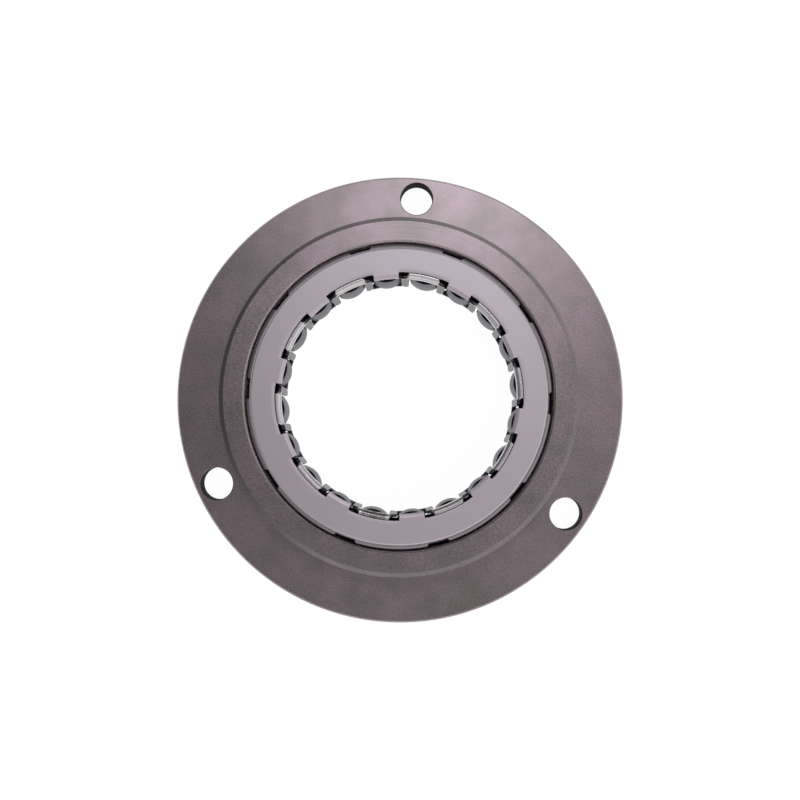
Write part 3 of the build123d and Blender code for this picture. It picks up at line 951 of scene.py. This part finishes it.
class CLUTCH_OT_grind_sprags(bpy.types.Operator):
    """Grind the sprags: a section of two cams and two hollow flanks, carried along the axis"""
    bl_idname = "clutch.grind_sprags"
    bl_label = "Grind sprags"

    def section(self, sprag):
        """Closed section about the pivot: heel arc, hollow flank, nose arc, hollow flank.

        Each corner c is blended by the curve (1 - t)^2 a + 2 t (1 - t) c + t^2 b. The points a and b
        lie three quarters of the corner radius away, on the two sides that meet there.
        """
        heel_r, nose_r = sprag.heel_cam_radius, sprag.nose_cam_radius
        heel_turn = np.degrees(np.arcsin(sprag.heel_width / 2 / heel_r))
        nose_turn = np.degrees(np.arcsin(sprag.nose_width / 2 / nose_r))
        heel = arc((0, 0), heel_r, -heel_turn, heel_turn, 24)
        nose = arc((sprag.nose_shift_out, sprag.nose_shift_side), nose_r,
                   180 - nose_turn, 180 + nose_turn, 36)

        def flank(start, end, push):
            """Parabola through both ends, with its middle pushed sideways."""
            t = np.linspace(0, 1, 17)[:, None]
            return start + (end - start) * t + np.array((0, push)) * 4 * t * (1 - t)

        sides = [heel, flank(heel[-1], nose[0], -sprag.waist), nose, flank(nose[-1], heel[0], sprag.waist)]
        reach = sprag.corner * 0.75
        line = []
        for index, side in enumerate(sides):
            following = sides[(index + 1) % len(sides)]
            corner = side[-1]
            inside = side[np.linalg.norm(side - side[0], axis=1) > reach]
            inside = inside[np.linalg.norm(inside - corner, axis=1) > reach]
            out = following[np.linalg.norm(following - corner, axis=1) > reach][0]
            t = np.linspace(0, 1, 7)[1:-1, None]
            bend = inside[-1] * (1 - t) ** 2 + corner * 2 * t * (1 - t) + out * t**2
            line += [inside, bend]
        return np.vstack(line)

    def execute(self, context):
        sprag = context.scene.clutch_sprag
        line = self.section(sprag)
        # The end caps join the points in pairs, so their number is made even
        if len(line) % 2:
            line = np.delete(line, len(line) // 4, axis=0)
        count = len(line)
        forward = units(np.roll(line, -1, axis=0) - np.roll(line, 1, axis=0))
        outward = np.stack((forward[:, 1], -forward[:, 0]), axis=-1)
        low, high, edge = SPRAG_LOW.z, SPRAG_HIGH.z - sprag.near_gap, sprag.end_round
        t = np.radians(np.linspace(0, 90, 4))
        inset, rise = edge * (1 - np.sin(t)), edge * (1 - np.cos(t))
        height = np.r_[low + rise, high - rise[::-1]]
        rings = line[None] - outward[None] * np.r_[inset, inset[::-1]][:, None, None]
        quads = grid_faces(len(rings), count, False, True).reshape(-1, 4)
        half = count // 2
        i = np.arange(half - 1)
        cap = np.stack((i, i + 1, count - 2 - i, count - 1 - i), axis=-1)
        quads = np.vstack((quads, cap[:, ::-1], cap + (len(rings) - 1) * count))
        for number in range(SPRAG_COUNT):
            name = f"sprag_{number + 1:02d}"
            x, y, _ = TILTS[name]["pos_m"]
            turn = np.arctan2(y, x)
            cos, sin = np.cos(turn), np.sin(turn)
            points = np.stack((x + rings[..., 0] * cos - rings[..., 1] * sin,
                               y + rings[..., 0] * sin + rings[..., 1] * cos,
                               np.broadcast_to(height[:, None], rings.shape[:2])), axis=-1)
            piece = put_mesh(f"sprag_ground_{number + 1:02d}", [(points, quads)])
            finish_solid(piece)
            seat(piece, name, "sprag_steel", "Sprag steel", name)
        return {"FINISHED"}


class CLUTCH_OT_temper_ribbon(bpy.types.Operator):
    """Give the ribbon spring, whose CAD shape stays, its spring-strip finish"""
    bl_idname = "clutch.temper_ribbon"
    bl_label = "Temper ribbon spring"

    def execute(self, context):
        ribbon = frame["nodes"]["ribbon_spring"]
        ribbon.data.materials.clear()
        ribbon.data.materials.append(bpy.data.materials["Spring strip"])
        return {"FINISHED"}


class CLUTCH_OT_flange_ribbon(bpy.types.Operator):
    """Turn in the far edge of the ribbon spring: a thin flat ring, rounded at its edges"""
    bl_idname = "clutch.flange_ribbon"
    bl_label = "Flange ribbon spring"

    def execute(self, context):
        ribbon = context.scene.clutch_ribbon
        low = CAGE_LOW.z + ribbon.lift
        high = low + ribbon.thickness
        outer = STRIP_INNER + context.scene.clutch_strip.strip + ribbon.gap + ribbon.thickness / 2
        inner = outer - ribbon.flange
        edge = ribbon.thickness * 0.4
        line = rounded([(inner, low, edge), (outer, low, edge), (outer, high, edge), (inner, high, edge)],
                       guard=0.01 * MM)
        theta = np.radians(np.arange(0, 360, 1.5))
        ring = revolve(line, theta[None])
        piece = put_mesh("ribbon_edge", [(ring, grid_faces(len(line), len(theta), True, True))])
        finish_solid(piece)
        seat(piece, "cage", "spring_strip", "Spring strip")
        return {"FINISHED"}


class CLUTCH_OT_mix_finishes(bpy.types.Operator):
    """Make the shader groups and the steels"""
    bl_idname = "clutch.mix_finishes"
    bl_label = "Mix finishes"

    def execute(self, context):
        scene = context.scene
        race, cage, strip = scene.clutch_race, scene.clutch_cage, scene.clutch_strip
        sprag, ribbon = scene.clutch_sprag, scene.clutch_ribbon
        grain_group()
        turning_group()
        race_places_group(race)
        strip_places_group(strip)
        cage_places_group(race, cage)
        sprag_places_group(sprag)
        metal = steel("Race steel", race.steel, race.roughness, grain=2600, clouds=110, grain_share=0.26,
                      cloud_share=0.75, bump=0.35, rings=1800, anisotropy=0.2, warm=(1.1, 0.96, 1.02),
                      cloud=(0.70, 0.78, 0.70))
        # Painted shade on the chamfer, its dark arc and the hole walls; painted light on the track's mouth
        self.darken(metal, "Race places", {
            "Chamfer": race.painted_chamfer_shade, "Painted shade arc": race.painted_arc_shade, "Hole": race.painted_hole_shade,
            "Track": race.painted_track_light}, dull=("Hole", "Track"))
        metal = steel("Cage sheet", cage.steel, cage.roughness, grain=5200, clouds=60, grain_share=0.03,
                      cloud_share=0.12, bump=0.06)
        # Painted shade on the cage's rim and wall
        self.darken(metal, "Cage places", {"Rim": cage.painted_rim_shade})
        metal = steel("Rolled strip", strip.steel, strip.roughness, grain=4200, clouds=200, grain_share=0.04,
                      cloud_share=0.25, bump=0.0, warm=(0.97, 1.0, 0.98), edge_tint=(0.82, 0.80, 0.83))
        # Painted shade on the crossbars and the corners beside the lips; the weld's tone is its heat tint
        self.darken(metal, "Strip places", {
            "Weld": strip.weld_tone, "Bar": strip.painted_bar_shade, "Corner": strip.painted_corner_shade})
        metal = steel("Sprag steel", sprag.steel, sprag.roughness, grain=4500, clouds=150, grain_share=0.06,
                      cloud_share=0.2, bump=0.10)
        # Painted shade on the sprags' near end faces
        self.darken(metal, "Sprag places", {"End": sprag.painted_end_shade})
        # The spring strip's dark colour is partly blued steel and partly painted shade
        steel("Spring strip", ribbon.steel, ribbon.roughness, grain=4500, clouds=150, grain_share=0.06,
              cloud_share=0.2, bump=0.08)
        return {"FINISHED"}

    def darken(self, material, group, tones, dull=()):
        """Multiply a material's colour by a tone wherever a group's mask is one: the tones paint shade and light,
        except the weld's, which is its heat tint.

        Where a dull mask is one, the surface is fully rough and not metallic.
        """
        tree = material.node_tree
        inputs = tree.nodes["Principled BSDF"].inputs
        masks = add(tree, "ShaderNodeGroup", node_tree=bpy.data.node_groups[group]).outputs
        base = inputs["Base Color"].links[0].from_socket
        for mask, tone in tones.items():
            base = mixed(tree, masks[mask], base, mixed(tree, 1.0, base, (tone,) * 3, "MULTIPLY"))
        feed(tree, inputs["Base Color"], base)
        if dull:
            either = maths(tree, "MAXIMUM", *(masks[mask] for mask in dull))
            rough = maths(tree, "MAXIMUM", inputs["Roughness"].links[0].from_socket, either)
            feed(tree, inputs["Roughness"], rough)
            feed(tree, inputs["Metallic"], ranged(tree, either, 1, 0, 0, 1))


class CLUTCH_OT_light_studio(bpy.types.Operator):
    """Lay the floor and set the lamp, the world and the camera"""
    bl_idname = "clutch.light_studio"
    bl_label = "Light studio"

    def floor(self, studio):
        """A wide pale floor that shows white to the camera and in reflections, and keeps the shadow."""
        side = studio.floor_half * np.array((-1.0, 1.0))
        points = np.stack(np.meshgrid(side, side, [-0.02 * MM], indexing="ij"), axis=-1)[:, :, 0]
        floor = put_mesh("studio_floor", [(points, grid_faces(2, 2)[..., ::-1])])
        material, tree, shader = new_material("Studio floor")
        tree.nodes.remove(shader)
        paint = add(tree, "ShaderNodeBsdfDiffuse", Color=(*studio.floor, 1))
        shown = add(tree, "ShaderNodeBsdfDiffuse", Color=(*studio.shown_floor, 1))
        glow = add(tree, "ShaderNodeEmission", Strength=studio.floor_glow)
        both = add(tree, "ShaderNodeAddShader")
        choose = add(tree, "ShaderNodeMixShader")
        seen = add(tree, "ShaderNodeLightPath").outputs
        either = maths(tree, "MAXIMUM", seen["Is Camera Ray"], seen["Is Glossy Ray"])
        any_of = maths(tree, "MAXIMUM", either, seen["Is Transmission Ray"])
        for source, target in (
                (shown.outputs[0], both.inputs[0]), (glow.outputs[0], both.inputs[1]),
                (any_of, choose.inputs[0]), (paint.outputs[0], choose.inputs[1]),
                (both.outputs[0], choose.inputs[2]),
                (choose.outputs[0], tree.nodes["Material Output"].inputs["Surface"])):
            tree.links.new(source, target)
        floor.data.materials.append(material)

    def world(self, studio):
        """Plain surroundings: one ceiling overhead and one ring of walls, each dark on one side.

        With the direction d, the pale wall takes over from the dark wall as d . side goes from -0.45
        to 0.45, the pale ceiling from the dark ceiling from -0.3 to 0.3, and the ceiling from the
        walls as the height of d goes from 0.78 to 0.97.
        """
        world = bpy.data.worlds.new("Studio")
        bpy.context.scene.world = world
        world.use_nodes = True
        tree = world.node_tree
        place = add(tree, "ShaderNodeTexCoord").outputs["Generated"]
        parts = add(tree, "ShaderNodeSeparateXYZ")
        feed(tree, parts.inputs[0], place)
        facing = dot(tree, place, polar(1, studio.pale_side, 0))
        walls = mixed(tree, ranged(tree, facing, 0, 1, -0.45, 0.45), studio.dark_wall, studio.pale_wall)
        above = mixed(tree, ranged(tree, facing, 0, 1, -0.3, 0.3), studio.dark_ceiling, studio.ceiling)
        overhead = ranged(tree, parts.outputs["Z"], 0, 1, 0.78, 0.97)
        feed(tree, tree.nodes["Background"].inputs["Color"], mixed(tree, overhead, walls, above))

    def lamp(self, studio):
        """A soft box that looks at the clutch from a direction."""
        data = bpy.data.lights.new("Key", "AREA")
        data.shape = "RECTANGLE"
        data.size, data.size_y = studio.lamp_width, studio.lamp_depth
        data.energy = studio.lamp_power
        data.color = studio.lamp_colour
        lamp = bpy.data.objects.new("Key", data)
        level = polar(np.cos(studio.lamp_height), studio.lamp_direction, np.sin(studio.lamp_height))
        lamp.location = Vector(level) * studio.lamp_distance
        lamp.rotation_euler = lamp.location.to_track_quat("Z", "Y").to_euler()
        bpy.context.scene.collection.objects.link(lamp)

    def camera(self, studio):
        """The photograph's view: nearly square on, a little below the axis."""
        data = bpy.data.cameras.new("Camera")
        data.sensor_width = 36
        data.lens = studio.lens
        camera = bpy.data.objects.new("Camera", data)
        place, aim = Vector(studio.camera_place), Vector(studio.camera_aim)
        back = (place - aim).normalized()
        right = Vector((0, 1, 0)).cross(back).normalized()
        camera.location = place
        camera.rotation_euler = Matrix((right, back.cross(right), back)).transposed().to_euler()
        bpy.context.scene.collection.objects.link(camera)
        bpy.context.scene.camera = camera

    def execute(self, context):
        studio = context.scene.clutch_studio
        context.scene.view_settings.view_transform = "Standard"
        self.floor(studio)
        self.world(studio)
        self.lamp(studio)
        self.camera(studio)
        return {"FINISHED"}


class CLUTCH_PT_panel(bpy.types.Panel):
    """Steps that build the clutch"""
    bl_idname = "CLUTCH_PT_panel"
    bl_label = "Sprag clutch"
    bl_space_type = "VIEW_3D"
    bl_region_type = "UI"
    bl_category = "Sprag clutch"

    def draw(self, context):
        for operator in OPERATORS:
            self.layout.operator(operator.bl_idname)


SETTINGS = {"clutch_race": RaceSettings, "clutch_cage": CageSettings, "clutch_strip": StripSettings,
            "clutch_sprag": SpragSettings, "clutch_ribbon": RibbonSettings, "clutch_studio": StudioSettings}
OPERATORS = (CLUTCH_OT_mix_finishes, CLUTCH_OT_turn_race, CLUTCH_OT_press_cage, CLUTCH_OT_roll_strip,
             CLUTCH_OT_grind_sprags, CLUTCH_OT_temper_ribbon, CLUTCH_OT_flange_ribbon,
             CLUTCH_OT_light_studio)


def register():
    for item in (*SETTINGS.values(), *OPERATORS, CLUTCH_PT_panel):
        bpy.utils.register_class(item)
    for name, kind in SETTINGS.items():
        setattr(bpy.types.Scene, name, PointerProperty(type=kind))


def unregister():
    for name in SETTINGS:
        delattr(bpy.types.Scene, name)
    for item in (CLUTCH_PT_panel, *reversed(OPERATORS), *reversed(SETTINGS.values())):
        bpy.utils.unregister_class(item)


def main():
    register()
    bpy.ops.clutch.mix_finishes()
    bpy.ops.clutch.turn_race()
    bpy.ops.clutch.press_cage()
    bpy.ops.clutch.roll_strip()
    bpy.ops.clutch.grind_sprags()
    bpy.ops.clutch.temper_ribbon()
    bpy.ops.clutch.flange_ribbon()
    bpy.ops.clutch.light_studio()


if __name__ == "__main__":
    main()
